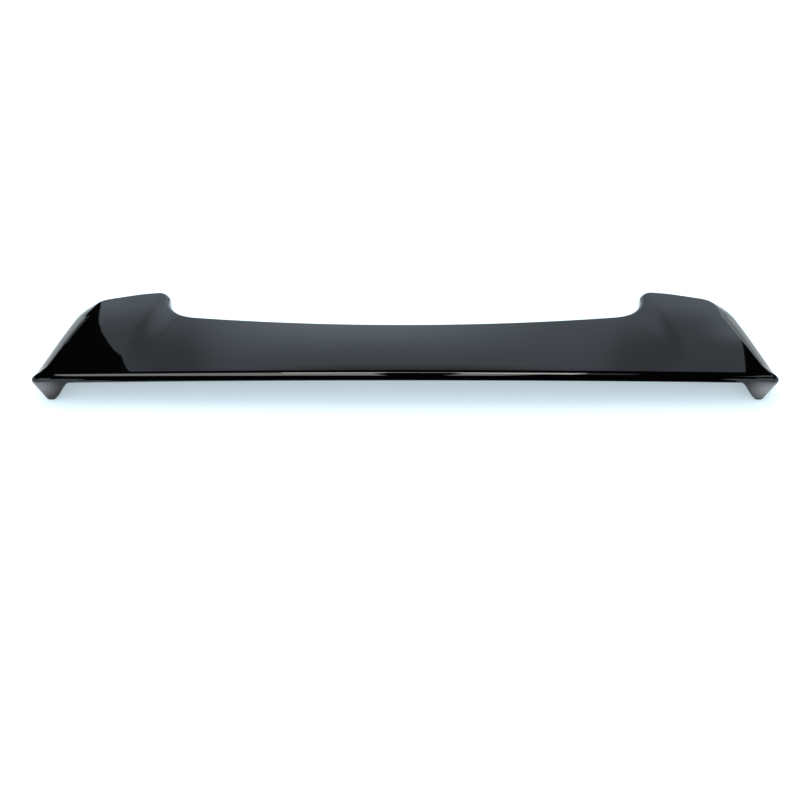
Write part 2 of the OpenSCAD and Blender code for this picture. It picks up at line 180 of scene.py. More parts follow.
@dataclass(frozen=True)
class SpoilerMoulding:
    """The one-piece moulding, built from the sizes of its CAD solid. Sizes are in millimetres."""

    overall_width: float = 1400.0
    trail_height: float = 63.3
    deck_crown: float = 11.4
    trail_bow: float = 4.0
    deck_slope: float = 8.3
    deck_camber: float = 13.0
    camber_length: float = 300.0
    deck_depth: float = 169.0
    notch: tuple[float, float] = (476.0, 200.0)
    notch_radius: float = 76.0
    arm_inner: tuple[float, float] = (488.0, 302.5)
    arm_inner_radius: float = 28.0
    arm_bend: tuple[float, float] = (547.0, 294.0)
    arm_bend_radius: float = 200.0
    arm_outer_inset: float = 40.5
    arm_outer_y: float = 260.0
    arm_outer_radius: float = 83.0
    waist_inset: float = 5.5
    waist_y: float = 38.0
    rear_corner_radius: float = 9.0
    arm_rise: float = 5.0
    arm_step_width: float = 70.0
    arm_step_front_x: float = 483.0
    arm_step_rear_x: float = 524.0
    arm_step_length: float = 240.0
    nose_roll_width: float = 12.0
    nose_roll_drop: float = 12.0
    nose_thickness: float = 20.0
    nose_foot_radius: float = 5.0
    corner_roll_width: float = 21.0
    corner_roll_drop: float = 15.0
    side_roll_width: float = 32.0
    side_roll_waist: float = 23.0
    side_roll_drop: float = 13.5
    side_roll_power: float = 1.15
    shoulder_radius: float = 4.0
    front_roll: float = 3.0
    front_foot_radius: float = 3.0
    wall_roll_width: float = 7.0
    wall_roll_drop: float = 6.0
    wall_foot_radius: float = 4.0
    tuck: float = 5.0
    tuck_corner_radius: float = 8.0
    fin_foot_radius: float = 4.0
    tip_corner_radius: float = 5.0
    fin_inner_inset: float = 20.0
    fin_slope_width: float = 50.0
    fin_lean: float = 0.30
    fin_growth: float = 2.0
    side_arch: float = 8.0
    skin_thickness: float = 6.0
    front_edge_thickness: float = 9.0
    fan_length: float = 175.0
    fan_width: float = 190.0
    fan_power: float = 1.9
    slope_ease: float = 0.4
    wall_turn_start: float = 0.2
    wall_turn_span: float = 0.7
    bend_gain: float = 2.5
    corner_reach: float = 25.0
    corner_blend_y: float = 60.0
    corner_blend_length: float = 50.0
    pad_start_y: float = 212.0
    pad_blend: float = 40.0
    side_fall_y: float = 210.0
    side_fall_length: float = 200.0
    lean_inset: float = 196.0
    lean_blend: float = 60.0
    lean_end_y: float = 80.0
    lean_fade: float = 100.0
    growth_length: float = 45.0
    least_wall: float = 0.5
    climb_most: float = 1.4
    hollow_share: float = 0.08
    density: int = 4

    SWEEP_STEPS = 10
    NOTCH_STEPS = 8
    WALL_STEPS = 2
    INNER_STEPS = 7
    BEND_STEPS = 3
    FRONT_STEPS = 3
    OUTER_STEPS = 4
    WAIST_STEPS = 2
    CORNER_STEPS = 6
    SIDE_SHARES = (1.0, 0.86, 0.70, 0.54, 0.40, 0.27, 0.13, 0.0)
    ROLL_STEPS = 5
    TUCK_STEPS = 3
    FOOT_STEPS = 3
    FOLLOW_COLUMNS = 14
    FIXED_STEPS = 3
    BOX_STEPS = 4

    @property
    def half_width(self) -> float:
        """Half of the width over the winglets."""
        return self.overall_width / 2.0

    def bow_at(self, x: Any) -> Any:
        """Return how far the trailing edge lies ahead of the rear corners."""
        return -self.trail_bow * (1.0 - (x / self.half_width) ** 2)

    def top_at(self, x: Any, y: Any) -> Any:
        """Work out the height of the deck and arms.

        Args:
            x: Places across the car.
            y: Places along the car, from the rear corners.

        Returns:
            The heights.
        """
        ahead = y - self.bow_at(x)
        run = ahead / self.camber_length
        climb = ahead / self.arm_step_length
        step_x = mix(self.arm_step_rear_x, self.arm_step_front_x, np.clip(climb, 0.0, self.climb_most))
        aside = smooth((np.abs(x) - step_x) / self.arm_step_width + 0.5)
        rise = self.arm_rise * aside * smooth(climb)
        crown = self.deck_crown * (1.0 - (x / self.half_width) ** 2)
        fall = math.tan(math.radians(self.deck_slope)) * ahead + self.deck_camber * run * np.abs(run)
        return self.trail_height + crown - fall + rise

    def fin_share(self, inset: Array) -> Array:
        """Return how much of the winglet's depth stands at an inset from the side."""
        share = np.clip((inset - self.fin_inner_inset) / self.fin_slope_width, 0.0, 1.0)
        return 1.0 - mix(share, smooth(share), self.slope_ease)

    def front_edge(self) -> tuple[Array, Arc]:
        """Draw the front edge of one half.

        Returns:
            Its points from the centre line, and the arc of its outer front corner.
        """
        m = self.density
        notch = np.array(self.notch)
        inner = np.array(self.arm_inner)
        bend = np.array(self.arm_bend)
        outer = np.array([self.half_width - self.arm_outer_inset, self.arm_outer_y])
        wall = unit(inner - notch)
        small = self.notch_radius
        notch_centre = notch + small * np.array([(wall[0] - 1.0) / wall[1], 1.0])
        climb = notch_centre[1] - self.deck_depth
        wide = (notch_centre[0] ** 2 + climb ** 2 - small ** 2) / (2.0 * (climb - small))
        sweep_centre = np.array([0.0, self.deck_depth + wide])
        meet = math.atan2(*(notch_centre - sweep_centre)[::-1])
        sweep_arc = Arc(sweep_centre, wide, -math.pi / 2.0, meet + math.pi / 2.0)
        notch_arc = Arc(notch_centre, small, meet, math.atan2(-wall[0], wall[1]) - meet)
        outer_arc = Arc.fillet(bend, outer, self.waist_point(), self.arm_outer_radius)
        sweep_run = sweep_arc.run(0.0, 1.0, self.SWEEP_STEPS * m)
        notch_run = notch_arc.run(0.0, 1.0, self.NOTCH_STEPS * m)
        inner_arc = Arc.fillet(notch, inner, bend, self.arm_inner_radius)
        inner_run = inner_arc.run(0.0, 1.0, self.INNER_STEPS * m)
        bend_arc = Arc.fillet(inner, bend, outer, self.arm_bend_radius)
        bend_run = bend_arc.run(0.0, 1.0, self.BEND_STEPS * m)
        outer_run = outer_arc.run(0.0, 0.5, self.OUTER_STEPS * m)
        points = (
            sweep_run + notch_run[1:] + line(notch_run[-1], inner_run[0], self.WALL_STEPS * m)
            + inner_run + line(inner_run[-1], bend_run[0], m)
            + bend_run + line(bend_run[-1], outer_run[0], self.FRONT_STEPS * m)
            + outer_run
        )
        return np.array(points), outer_arc

    def waist_point(self) -> Array:
        """Return the point of the side edge just ahead of the rear corner."""
        return np.array([self.half_width - self.waist_inset, self.waist_y])

    def side_edge(self, outer: Arc, insets: tuple[float, float, float], rear: float, radius: float,
                  start: float) -> Array:
        """Run from the outer front corner round to the trailing edge.

        Args:
            outer: Arc of the outer front corner.
            insets: Insets from the widest line behind the outer front corner, at the waist and at
                the rear corner.
            rear: Inset from the trailing edge.
            radius: Plan radius of the rear corner.
            start: Inset of the front edge.

        Returns:
            The points of the side edge.
        """
        m = self.density
        turn = outer.run(0.5, 1.0, self.OUTER_STEPS * m)
        count = len(turn) - 1
        curve = [
            q + unit(outer.centre - q) * mix(start, insets[0], smooth(0.5 + 0.5 * k / count))
            for k, q in enumerate(turn)
        ]
        along = unit(self.waist_point() - turn[-1])
        waist = self.waist_point() + insets[1] * np.array([along[1], -along[0]])
        centre = np.array([self.half_width - insets[2] - radius, rear + radius])
        reach = centre - waist
        distance = float(np.linalg.norm(reach))
        angle = math.atan2(reach[1], reach[0]) + math.asin(radius / distance)
        length = math.sqrt(distance ** 2 - radius ** 2)
        touch = waist + length * np.array([math.cos(angle), math.sin(angle)])
        start_angle = math.atan2(touch[1] - centre[1], touch[0] - centre[0])
        corner = Arc(centre, radius, start_angle, -math.pi / 2.0 - start_angle).run(
            0.0, 1.0, self.CORNER_STEPS * m)
        straight = [
            mix(waist, curve[-1], mix(a, b, k / m))
            for a, b in zip(self.SIDE_SHARES[:-1], self.SIDE_SHARES[1:])
            for k in range(1, m + 1)
        ]
        return np.array(curve + straight + line(waist, corner[0], self.WAIST_STEPS * m) + corner)

    def build(self) -> bpy.types.Object:
        """Build and dress the moulding.

        Returns:
            The finished piece.
        """
        loft = Loft(self)
        points, quads, parts = loft.mesh_data()
        piece = mesh_object("spoiler_body", points, quads, GlossLacquer().material())
        piece.data.materials.append(MouldedSkin().material())
        slots = np.zeros(len(quads), int)
        slots[parts == Cell.BOTTOM.value] = loft.hollow_quads().reshape(-1).astype(int)
        piece.data.polygons.foreach_set("material_index", slots)
        piece.data.polygons.foreach_set("use_smooth", np.ones(len(quads), bool))
        piece.data.update()
        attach(piece, BODY)
        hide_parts(NODE)
        return piece


class Loft:
    """Points and faces of the moulding, lofted through its outlines."""

    def __init__(self, sizes: SpoilerMoulding) -> None:
        """Loft the moulding.

        Args:
            sizes: The moulding's sizes.
        """
        self.sizes = sizes
        s = sizes
        self.front, self.outer = s.front_edge()
        self.nf = len(self.front) - 1
        self.left = lengths_left(self.front)
        self.inward = self._inward()
        self.wall = smooth((self.inward[:, 0] - s.wall_turn_start) / s.wall_turn_span)
        arc = s.OUTER_STEPS * s.density
        self.front_turn = smooth((np.arange(self.nf + 1) - self.nf + arc) / (2.0 * arc))
        self.widest = self._outline((0.0, 0.0, 0.0), 0.0, s.rear_corner_radius, 0.0, 0.0)
        self.tucked = self._outline((s.tuck,) * 3, 0.0, s.tuck_corner_radius, 0.0, 0.0)
        self.foot = self._outline((s.tuck + s.fin_foot_radius,) * 3, s.nose_foot_radius,
                                  s.tip_corner_radius, s.front_foot_radius, s.wall_foot_radius)
        self.ns = len(self.widest.side) - 1
        self.rear_inset = s.half_width - self.widest.rear[:, 0]
        self.fin = s.fin_share(s.half_width - self.foot.rear[:, 0])
        self.arm = smooth((self.front[:, 1] - s.pad_start_y) / s.pad_blend)
        self._rows()
        self.ring_points = self._ring_points()
        self.count = self.ring_points.shape[1]
        self.columns = [(-1, j) for j in range(self.nf, 0, -1)] + [(1, j) for j in range(self.nf + 1)]

    def _inward(self) -> Array:
        """Work out the directions into the body.

        Returns:
            The direction at each point of the front edge.
        """
        whole = np.vstack([self.front[:0:-1] * [-1.0, 1.0], self.front])
        tangent = np.gradient(whole, axis=0)[self.nf:]
        tangent /= np.linalg.norm(tangent, axis=1)[:, None]
        inward = np.stack([tangent[:, 1], -tangent[:, 0]], axis=1)
        inward[-1] = unit(self.outer.centre - self.front[-1])
        return inward

    def _outline(self, side: tuple[float, ...], rear: float, radius: float, front_in: float,
                 wall_in: float) -> Outline:
        """Draw an outline inside the widest one.

        Args:
            side: Insets behind the outer front corner, at the waist and at the rear corner.
            rear: Inset from the trailing edge.
            radius: Plan radius of the rear corner.
            front_in: Inset from the front edge.
            wall_in: Inset from the inner walls of the arms.

        Returns:
            The outline.
        """
        s = self.sizes
        inset = mix(mix(front_in, wall_in, self.wall), side[0], self.front_turn)
        front = self.front + self.inward * inset[:, None]
        edge = s.side_edge(self.outer, side, rear, radius, front_in)
        end = s.half_width - edge[-1][0]
        sweep = s.SWEEP_STEPS * s.density
        fan = s.half_width - end - (s.fan_width - end) * (self.left / s.fan_length) ** s.fan_power
        between = mix(self.front[sweep][0], s.half_width - s.fan_width,
                      (self.left[sweep] - self.left) / (self.left[sweep] - s.fan_length))
        x = np.where(self.left <= s.fan_length, fan, between)
        x[:sweep + 1] = self.front[:sweep + 1, 0]
        return Outline(front, edge, np.column_stack([x, np.full(self.nf + 1, rear)]))

    def _rows(self) -> None:
        """Set out the rows of the upper and lower surfaces, from front to rear."""
        s = self.sizes
        m = s.density
        done = lengths_left(self.widest.side)
        self.corner_row = self.ns - s.CORNER_STEPS * m
        self.tip_row = self.corner_row - s.WAIST_STEPS * m
        self.pad_row = s.OUTER_STEPS * m
        self.box_row = (s.OUTER_STEPS + s.BOX_STEPS) * m
        self.absolute_row = (s.OUTER_STEPS + s.FIXED_STEPS) * m
        self.side_row = np.arange(self.ns + 1)
        self.side_turn = smooth(0.5 + 0.5 * self.side_row / (s.OUTER_STEPS * m))
        self.pad = 1.0 - smooth((self.side_row - self.pad_row) / m)
        self.box = smooth((self.side_row - self.box_row) / m)
        first = done[self.pad_row + m]
        share = np.clip((first - done) / (first - done[self.tip_row]), 0.0, 1.0)
        self.arch = s.side_arch * np.sin(math.pi * share) ** 2

    def bottom_at(self, x: Array, y: Array, column: Array, row: Array) -> Array:
        """Return the height of the lower surface.

        Args:
            x: Places across the car.
            y: Places along the car.
            column: Index of each place's column from the centre line.
            row: Index of each place's row from the front.

        Returns:
            The heights.
        """
        s = self.sizes
        top = s.top_at(x, y)
        ceiling = top - mix(s.skin_thickness, s.nose_thickness, self.box[row])
        hollow = mix(ceiling, np.minimum(ceiling, self.arch[row]), self.fin[column])
        pad = mix(top - s.front_edge_thickness, 0.0, self.arm[column])
        return mix(hollow, pad, self.pad[row])

    def _shift_foot(self) -> None:
        """Shift the foot to the winglets' own rounding, near the rear corners and under the winglets."""
        s = self.sizes
        growth = s.fin_foot_radius - s.nose_foot_radius
        near_corner = smooth((s.corner_blend_y - self.foot.side[:, 1]) / s.corner_blend_length)
        self.foot.side[:, 1] += growth * np.where(self.side_row >= self.corner_row, 1.0, near_corner)
        self.foot.rear[:, 1] += growth * self.fin

    def _roll_drop(self) -> Array:
        """Work out the depth of the roll.

        Returns:
            How far it falls from the deck at each point of a ring.
        """
        s = self.sizes
        front = mix(mix(s.front_roll, s.wall_roll_drop, self.wall), s.side_roll_drop, self.front_turn)
        fall = np.clip((s.side_fall_y - self.widest.side[:, 1]) / s.side_fall_length, 0.0, 1.0)
        side = mix(mix(s.front_roll, s.side_roll_drop, self.side_turn), s.corner_roll_drop, fall)
        near_corner = np.exp(-((self.rear_inset - s.rear_corner_radius) / s.corner_reach) ** 2)
        return closed(front, side, mix(s.nose_roll_drop, s.corner_roll_drop, near_corner), 1.0)

    def _roll_bend(self) -> Array:
        """Work out the section of the roll.

        Returns:
            The exponent of its curve at each point of a ring, which is 1 for a round one.
        """
        s = self.sizes
        full = 2.0 / s.side_roll_power
        corner = smooth((self.side_row - self.corner_row) / (s.CORNER_STEPS * s.density) + 0.5)
        front = mix(1.0, full, smooth(self.front_turn * s.bend_gain))
        return closed(front, mix(full, 1.0, corner), np.ones(self.nf + 1), 1.0)

    def _foot_radius(self) -> Array:
        """Work out the rounding of the foot.

        Returns:
            Its radius at each point of a ring.
        """
        s = self.sizes
        edge = mix(s.front_foot_radius, s.wall_foot_radius, self.wall)
        front = mix(edge, s.fin_foot_radius, self.front_turn)
        side = mix(s.front_foot_radius, s.fin_foot_radius, self.side_turn)
        rear = mix(s.nose_foot_radius, s.fin_foot_radius, self.fin)
        return closed(front, side, rear, 1.0)

    def _ring_points(self) -> Array:
        """Loft the rim.

        Returns:
            The rings from the deck's shoulder down to the foot.
        """
        s = self.sizes
        m = s.density
        inner = self._outline((s.side_roll_width, s.side_roll_waist, s.corner_roll_width),
                              s.nose_roll_width, s.shoulder_radius, s.front_roll, s.wall_roll_width)
        self._shift_foot()
        shoulder, widest, tucked, foot = (
            self._bowed(outline.around()) for outline in (inner, self.widest, self.tucked, self.foot))
        drop, bend, radius = self._roll_drop(), self._roll_bend(), self._foot_radius()
        index = np.arange(self.nf + 1)
        column = closed(index, np.full(self.ns + 1, self.nf), index, 1)
        row = closed(np.zeros(self.nf + 1, int), self.side_row, np.full(self.nf + 1, self.ns), 1)

        rings: list[Array] = []
        for angle in np.linspace(0.0, math.pi / 2.0, s.ROLL_STEPS * m + 1):
            plan = mix(shoulder, widest, (math.sin(angle) ** bend)[:, None])
            fall = drop * (1.0 - max(0.0, math.cos(angle)) ** bend)
            rings.append(np.column_stack([plan, s.top_at(plan[:, 0], plan[:, 1]) - fall]))
        wall_top = rings[-1][:, 2]
        tucked_bottom = self.bottom_at(tucked[:, 0], tucked[:, 1], column, row)
        wall_bottom = np.minimum(tucked_bottom + radius, wall_top - s.least_wall)
        for share in np.linspace(0.0, 1.0, s.TUCK_STEPS * m + 1)[1:-1]:
            plan = mix(widest, tucked, share)
            rings.append(np.column_stack([plan, mix(wall_top, wall_bottom, share)]))
        for angle in np.linspace(0.0, math.pi / 2.0, s.FOOT_STEPS * m + 1):
            plan = mix(tucked, foot, 1.0 - math.cos(angle))
            low = self.bottom_at(plan[:, 0], plan[:, 1], column, row)
            lift = (wall_bottom - tucked_bottom) * (1.0 - math.sin(angle))
            rings.append(np.column_stack([plan, low + lift]))
        return np.array(rings)

    def _bowed(self, ring: Array) -> Array:
        """Return a ring shifted by the bow of the trailing edge."""
        return ring + np.column_stack([np.zeros(len(ring)), self.sizes.bow_at(ring[:, 0])])

    def _row_shares(self, span: float) -> Array:
        """Share out the rows on a column.

        Args:
            span: Length of the column.

        Returns:
            Where each row lies, from 0 at the front to 1 at the rear.
        """
        left = lengths_left(self.foot.side)
        fixed = left[self.absolute_row]
        near_front = (1.0 - fixed / span) * (left[0] - left) / (left[0] - fixed)
        return np.where(self.side_row >= self.absolute_row, 1.0 - left / span, near_front)

    def _edge_index(self) -> Array:
        """Number the edge of a surface.

        Returns:
            The ring index of every column and row on the edge, and -1 inside.
        """
        nc, ns = len(self.columns), self.ns
        front = nc + ns - 1
        table = np.full((nc, ns + 1), -1)
        table[:, ns] = np.arange(nc)
        table[:, 0] = front + nc - 1 - np.arange(nc)
        table[0, 1:ns] = front + nc + np.arange(ns - 1)
        table[-1, 1:ns] = nc + ns - 1 - np.arange(1, ns)
        return table

    def _surface(self, ring: Array, edge: Array) -> Array:
        """Spread straight columns between the front and the trailing edge of a ring.

        Args:
            ring: The ring's points.
            edge: Ring index of the surface's edge points.

        Returns:
            The plan points of every column and row.
        """
        s = self.sizes
        span = np.linalg.norm(self.foot.front - self.foot.rear, axis=1)
        end_shares = self._row_shares(float(span[self.nf]))
        plan = np.zeros((len(self.columns), self.ns + 1, 2))
        for c, (half, j) in enumerate(self.columns):
            end = 0 if half < 0 else len(self.columns) - 1
            first, last = ring[edge[c, 0], :2], ring[edge[c, self.ns], :2]
            end_first, end_last = ring[edge[end, 0], :2], ring[edge[end, self.ns], :2]
            side = ring[edge[end], :2]
            fade = max(0.0, 1.0 - (self.nf - j) / (s.FOLLOW_COLUMNS * s.density)) ** 2
            shares = self._row_shares(float(span[j]))[:, None]
            bend = side - mix(end_first, end_last, end_shares[:, None])
            plan[c] = mix(first, last, shares) + bend * fade
        return plan

    def _leaned(self, points: Array) -> Array:
        """Lean the winglets inward.

        Args:
            points: The upright moulding's points.

        Returns:
            The points of the leaned moulding.
        """
        s = self.sizes
        x, y, z = points[..., 0], points[..., 1], points[..., 2]
        below = np.maximum(0.0, s.top_at(x, y) - s.nose_thickness - z)
        aside = smooth((np.abs(x) - s.half_width + s.lean_inset) / s.lean_blend)
        share = aside * (1.0 - smooth((y - s.lean_end_y) / s.lean_fade))
        inset = s.half_width - np.abs(x) - s.fin_inner_inset
        inner = smooth(inset / (s.fin_inner_inset - s.tuck) + 1.0)
        ahead = smooth((y - s.fin_foot_radius) / s.growth_length)
        growth = s.fin_growth * inner * ahead / (s.trail_height - s.nose_thickness)
        leaned = points.copy()
        leaned[..., 0] = x - np.sign(x) * (s.fin_lean + growth) * below * share
        return leaned

    def mesh_data(self) -> tuple[Array, Array, Array]:
        """Collect the whole mesh.

        Returns:
            The points in metres, the quads, and the part of the moulding of each quad.
        """
        s = self.sizes
        nc, ns, n = len(self.columns), self.ns, self.count
        edge = self._edge_index()
        inner = (slice(1, nc - 1), slice(1, ns))
        top_plan = self._surface(self.ring_points[0], edge)[inner]
        low_plan = self._surface(self.ring_points[-1], edge)[inner]
        column = np.abs(np.arange(nc) - self.nf)[1:-1, None] + np.zeros((1, ns - 1), int)
        row = np.arange(1, ns)[None, :] + np.zeros((nc - 2, 1), int)
        top = np.dstack([top_plan, s.top_at(top_plan[..., 0], top_plan[..., 1])])
        low = np.dstack([low_plan, self.bottom_at(low_plan[..., 0], low_plan[..., 1], column, row)])
        rings = self.ring_points.reshape(-1, 3)
        points = self._leaned(np.vstack([rings, top.reshape(-1, 3), low.reshape(-1, 3)]))
        front_most = float(np.max(self.front[:, 1] + s.bow_at(self.front[:, 0])))
        points[:, 1] -= (front_most - s.trail_bow) / 2.0

        inside = (nc - 2) * (ns - 1)
        top_index = edge.copy()
        top_index[inner] = len(rings) + np.arange(inside).reshape(nc - 2, ns - 1)
        low_index = np.where(edge >= 0, edge + (len(self.ring_points) - 1) * n, -1)
        low_index[inner] = top_index[inner] + inside
        ring = np.arange(n)
        after = (ring + 1) % n
        rim = [
            np.stack([r * n + n + ring, r * n + n + after, r * n + after, r * n + ring], axis=1)
            for r in range(len(self.ring_points) - 1)
        ]
        tops = cell_corners(top_index)
        lows = cell_corners(low_index)[..., [0, 3, 2, 1]]
        quads = np.vstack([*rim, tops.reshape(-1, 4), lows.reshape(-1, 4)])
        parts = np.concatenate([
            np.full(len(rim) * n, Cell.RIM.value),
            np.full(tops.size // 4, Cell.TOP.value),
            np.full(lows.size // 4, Cell.BOTTOM.value),
        ])
        return points * MM, quads, parts

    def hollow_quads(self) -> Array:
        """Find the lower surface's quads that lie in the hollow.

        Returns:
            A mask that leaves out the winglets and the rear box.
        """
        column = np.abs(np.arange(len(self.columns)) - self.nf)
        open_column = self.fin[column] < self.sizes.hollow_share
        row = np.arange(self.ns)
        open_row = (row > 0) & (row < self.box_row + self.sizes.density)
        return open_column[:-1, None] & open_column[1:, None] & open_row[None, :]


class Wire:
    """A shader socket that reads as a number in plain maths."""

    def __init__(self, graph: "Graph", socket: bpy.types.NodeSocket) -> None:
        """Hold a socket of a graph."""
        self.graph = graph
        self.socket = socket

    def _maths(self, operation: str, first: "Wire | Number", second: "Wire | Number") -> "Wire":
        """Add a Math node.

        Args:
            operation: The node's operation.
            first: Its first value.
            second: Its second value.

        Returns:
            The result's socket.
        """
        node = self.graph.add("ShaderNodeMath", {"operation": operation}, {0: first, 1: second})
        return Wire(self.graph, node.outputs[0])

    def __add__(self, other: "Wire | Number") -> "Wire":
        """Return the sum."""
        return self._maths("ADD", self, other)

    def __radd__(self, other: Number) -> "Wire":
        """Return the sum."""
        return self._maths("ADD", other, self)

    def __sub__(self, other: "Wire | Number") -> "Wire":
        """Return the difference."""
        return self._maths("SUBTRACT", self, other)

    def __rsub__(self, other: Number) -> "Wire":
        """Return the difference."""
        return self._maths("SUBTRACT", other, self)

    def __mul__(self, other: "Wire | Number") -> "Wire":
        """Return the product."""
        return self._maths("MULTIPLY", self, other)

    def __rmul__(self, other: Number) -> "Wire":
        """Return the product."""
        return self._maths("MULTIPLY", other, self)

    def above(self, other: "Wire | Number") -> "Wire":
        """Return the larger value."""
        return self._maths("MAXIMUM", self, other)

    def size(self) -> "Wire":
        """Return the value without its sign."""
        return self._maths("ABSOLUTE", self, 0.0)

    def ease(self, low: Number, high: Number) -> "Wire":
        """Return a share that grows smoothly from 0 at low to 1 at high."""
        return self.graph.wire("ShaderNodeMapRange", {"interpolation_type": "SMOOTHSTEP"}, {
            "Value": self, "From Min": low, "From Max": high})


class Graph:
    """The node tree of a material or world."""

    MIX_LOW, MIX_HIGH = 6, 7
    MIX_RESULT = 2

    def __init__(self, tree: bpy.types.NodeTree) -> None:
        """Empty a node tree and work on it."""
        tree.nodes.clear()
        self.tree = tree

    def add(self, kind: str, settings: dict[str, Any], inputs: dict[Any, Any]) -> bpy.types.Node:
        """Add a node.

        Args:
            kind: The node's type.
            settings: Its properties, which are set first.
            inputs: Its sockets' values or links, by name or index.

        Returns:
            The node.
        """
        node = self.tree.nodes.new(kind)
        for name, value in settings.items():
            setattr(node, name, value)
        for name, value in inputs.items():
            socket = value.socket if isinstance(value, Wire) else value
            if isinstance(socket, bpy.types.NodeSocket):
                self.tree.links.new(socket, node.inputs[name])
            else:
                node.inputs[name].default_value = socket
        return node

    def wire(self, kind: str, settings: dict[str, Any], inputs: dict[Any, Any], output: Any = 0) -> Wire:
        """Add a node and return one of its outputs.

        Args:
            kind: The node's type.
            settings: Its properties.
            inputs: Its sockets' values or links.
            output: Name or index of the output.

        Returns:
            The output's socket.
        """
        return Wire(self, self.add(kind, settings, inputs).outputs[output])

    def ramp(self, factor: Wire, span: Span, values: Span) -> Wire:
        """Map a value through a ramp with two stops.

        Args:
            factor: Value from 0 to 1.
            span: Positions of the stops.
            values: Results at the stops.

        Returns:
            The mapped value.
        """
        node = self.add("ShaderNodeValToRGB", {}, {0: factor})
        for element, position, value in zip(node.color_ramp.elements, span, values):
            element.position = position
            element.color = (value, value, value, 1.0)
        return Wire(self, node.outputs[0])

    def place(self) -> Wire:
        """Return the place on the object in metres."""
        return self.wire("ShaderNodeTexCoord", {}, {}, "Object")

    def axes(self, *names: str) -> list[Wire]:
        """Return the parts of the place along the named axes."""
        node = self.add("ShaderNodeSeparateXYZ", {}, {0: self.place()})
        return [Wire(self, node.outputs[name]) for name in names]

    def noise(self, place: Wire, scale: float, detail: float) -> Wire:
        """Return a noise with a number of repeats to the metre."""
        return self.wire("ShaderNodeTexNoise", {}, {"Vector": place, "Scale": scale, "Detail": detail})

    def vector(self, operation: str, first: Wire, second: Colour) -> Wire:
        """Return the result of an operation on a vector and a constant one."""
        return self.wire("ShaderNodeVectorMath", {"operation": operation}, {0: first, 1: second}, "Vector")

    def blend(self, factor: Wire, low: Colour, high: Colour) -> Wire:
        """Return the colour that lies a share of the way from low to high."""
        return self.wire("ShaderNodeMix", {"data_type": "RGBA"}, {
            "Factor": factor, self.MIX_LOW: (*low, 1.0), self.MIX_HIGH: (*high, 1.0)}, self.MIX_RESULT)

    def rays(self, *names: str) -> Wire:
        """Tell rays apart.

        Args:
            names: Outputs of the Light Path node.

        Returns:
            1 on rays of the named kinds and 0 on the others.
        """
        path = self.add("ShaderNodeLightPath", {}, {})
        first, *others = (Wire(self, path.outputs[name]) for name in names)
        return reduce(Wire.above, others, first)

    def glow(self, colour: Wire, strength: float) -> None:
        """Finish a material that is black apart from its glow."""
        self.finish(self.add("ShaderNodeBsdfPrincipled", {}, {
            "Base Color": BLACK, "Roughness": 1.0, "Specular IOR Level": 0.0,
            "Emission Color": colour, "Emission Strength": strength}))

    def finish(self, shader: bpy.types.Node, output: str = "ShaderNodeOutputMaterial") -> None:
        """Link a shader to an output of the given type."""
        self.add(output, {}, {"Surface": shader.outputs[0]})


def new_material(name: str) -> tuple[bpy.types.Material, Graph]:
    """Make an empty node material.

    Args:
        name: Its name.

    Returns:
        The material and its graph.
    """
    material = bpy.data.materials.new(name)
    material.use_nodes = True
    return material, Graph(material.node_tree)


@dataclass(frozen=True)
class GlossLacquer:
    """Deep black lacquer over a moulded body: orange peel, a longer wave and broad wipe marks.

    Scales are in repeats to the metre and the height is in metres.
    """

    tint: Colour = (0.0010, 0.0010, 0.0012)
    base_roughness: float = 0.30
    coat_roughness: float = 0.02
    coat_ior: float = 1.5
    peel_scale: float = 190.0
    peel_detail: float = 2.0
    peel_height: float = 0.0000012
    wave_scale: float = 38.0
    wave_detail: float = 1.0
    wave_share: float = 2.0
    wipe_scale: float = 9.0
    wipe_detail: float = 4.0
    wipe_span: Span = (0.30, 0.72)
    wipe_roughness: float = 0.05

    def material(self) -> bpy.types.Material:
        """Mix the lacquer.

        Returns:
            The material.
        """
        material, graph = new_material("gloss_black_lacquer")
        place = graph.place()
        peel = graph.noise(place, self.peel_scale, self.peel_detail)
        wave = graph.noise(place, self.wave_scale, self.wave_detail)
        wipe = graph.noise(place, self.wipe_scale, self.wipe_detail)
        roughness = (self.base_roughness, self.base_roughness + self.wipe_roughness)
        bump = graph.wire("ShaderNodeBump", {}, {
            "Height": peel + wave * self.wave_share, "Distance": self.peel_height, "Strength": 1.0})
        graph.finish(graph.add("ShaderNodeBsdfPrincipled", {}, {
            "Base Color": (*self.tint, 1.0),
            "Roughness": graph.ramp(wipe, self.wipe_span, roughness),
            "Coat Weight": 1.0,
            "Coat Roughness": self.coat_roughness,
            "Coat IOR": self.coat_ior,
            "Specular IOR Level": 0.0,
            "Normal": bump,
        }))
        return material


@dataclass(frozen=True)
class MouldedSkin:
    """Fine-grained black plastic of the hollow underside, dulled by overspray.

    Scales are in repeats to the metre and the height is in metres.
    """

    tint: Colour = (0.012, 0.012, 0.013)
    grain_scale: float = 900.0
    grain_detail: float = 2.0
    grain_height: float = 0.00003
    grain_strength: float = 0.6
    spray_scale: float = 7.0
    spray_detail: float = 3.0
    spray_span: Span = (0.30, 0.70)
    roughness: Span = (0.34, 0.52)

    def material(self) -> bpy.types.Material:
        """Mix the plastic.

        Returns:
            The material.
        """
        material, graph = new_material("moulded_black_underside")
        place = graph.place()
        grain = graph.noise(place, self.grain_scale, self.grain_detail)
        spray = graph.noise(place, self.spray_scale, self.spray_detail)
        bump = graph.wire("ShaderNodeBump", {}, {
            "Height": grain, "Distance": self.grain_height, "Strength": self.grain_strength})
        graph.finish(graph.add("ShaderNodeBsdfPrincipled", {}, {
            "Base Color": (*self.tint, 1.0),
            "Roughness": graph.ramp(spray, self.spray_span, self.roughness),
            "Normal": bump,
        }))
        return material


